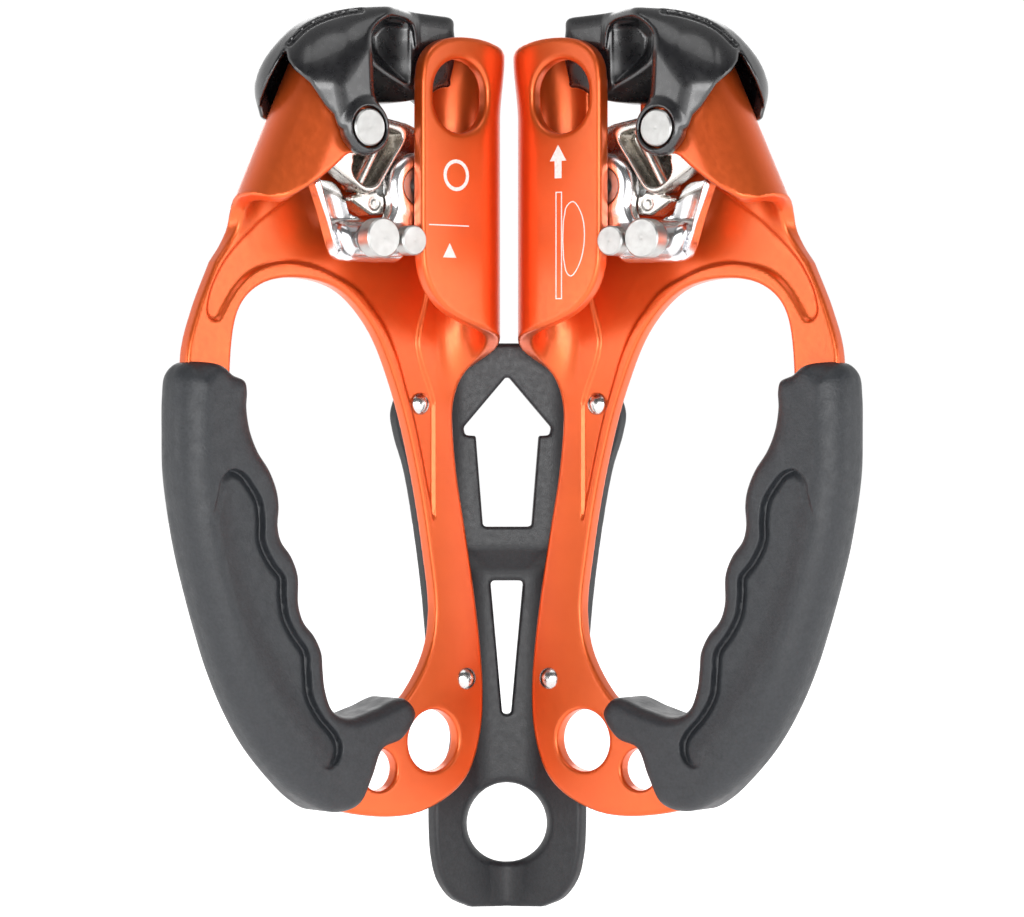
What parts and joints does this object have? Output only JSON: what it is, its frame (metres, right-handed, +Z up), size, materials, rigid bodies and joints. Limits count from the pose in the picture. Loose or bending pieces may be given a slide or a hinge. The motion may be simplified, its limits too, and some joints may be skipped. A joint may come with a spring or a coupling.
{
  "type": "rope ascender",
  "caption": "Double-handled rope ascender: mirror-image sprung cam clamps with folded rope channels and rubber grips, riveted to a bent centre plate with a carabiner eye.",
  "frame": {"origin": "centre of the carabiner eye in the centre plate", "axes": "+Z up along the ropes, +X to the user's right, -Y towards the user"},
  "size_m": [0.1694, 0.0694, 0.2217],
  "materials": {
    "frame": "satin orange anodised sheet",
    "centre_plate": "fine-grained black anodised sheet",
    "grip": "matt dark grey overmoulded rubber",
    "hood": "satin black moulded plastic",
    "rivets": "bright domed rivet heads",
    "pins": "turned and fine brushed steel",
    "cam": "nickel-plated cast steel",
    "springs": "spring wire",
    "lever": "polished aluminium",
    "lever_pivot": "bright turned steel",
    "studs": "bright turned steel",
    "stop_pin": "nickel-plated steel"
  },
  "bodies": {
    "chassis": {"centre_plate": "centre_plate", "right_frame": "frame", "right_grip": "grip", "right_hood": "hood", "right_rivets": "rivets", "right_cam_axle": "pins", "right_cam_spring": "springs", "left_frame": "frame", "left_grip": "grip", "left_hood": "hood", "left_rivets": "rivets", "left_cam_axle": "pins", "left_cam_spring": "springs"},
    "right_cam_body": {"right_cam": "cam", "right_lever_pivot": "lever_pivot", "right_lever_spring": "springs", "right_stop_pin": "stop_pin"},
    "right_lever_body": {"right_lever": "lever", "right_thumb_stud": "studs", "right_catch_stud": "studs"},
    "left_cam_body": {"left_cam": "cam", "left_lever_pivot": "lever_pivot", "left_lever_spring": "springs", "left_stop_pin": "stop_pin"},
    "left_lever_body": {"left_lever": "lever", "left_thumb_stud": "studs", "left_catch_stud": "studs"}
  },
  "joints": [
    {"name": "right_cam_pivot", "type": "hinge", "parent": "chassis", "child": "right_cam_body", "pos_m": [0.04299, -0.04485, 0.17], "axis": [-0.5878, -0.809, 0], "range_deg": [0, 28], "stiffness_Nm_per_rad": 0.05, "springref_deg": -68.75},
    {"name": "right_lever_pivot_hinge", "type": "hinge", "parent": "right_cam_body", "child": "right_lever_body", "pos_m": [0.02368, -0.03639, 0.1573], "axis": [-0.5878, -0.809, 0], "range_deg": [0, 10], "stiffness_Nm_per_rad": 0.02, "springref_deg": -68.75},
    {"name": "left_cam_pivot", "type": "hinge", "parent": "chassis", "child": "left_cam_body", "pos_m": [-0.04299, -0.04485, 0.17], "axis": [-0.5878, 0.809, 0], "range_deg": [0, 28], "stiffness_Nm_per_rad": 0.05, "springref_deg": -68.75},
    {"name": "left_lever_pivot_hinge", "type": "hinge", "parent": "left_cam_body", "child": "left_lever_body", "pos_m": [-0.02368, -0.03639, 0.1573], "axis": [-0.5878, 0.809, 0], "range_deg": [0, 10], "stiffness_Nm_per_rad": 0.02, "springref_deg": -68.75}
  ]
}
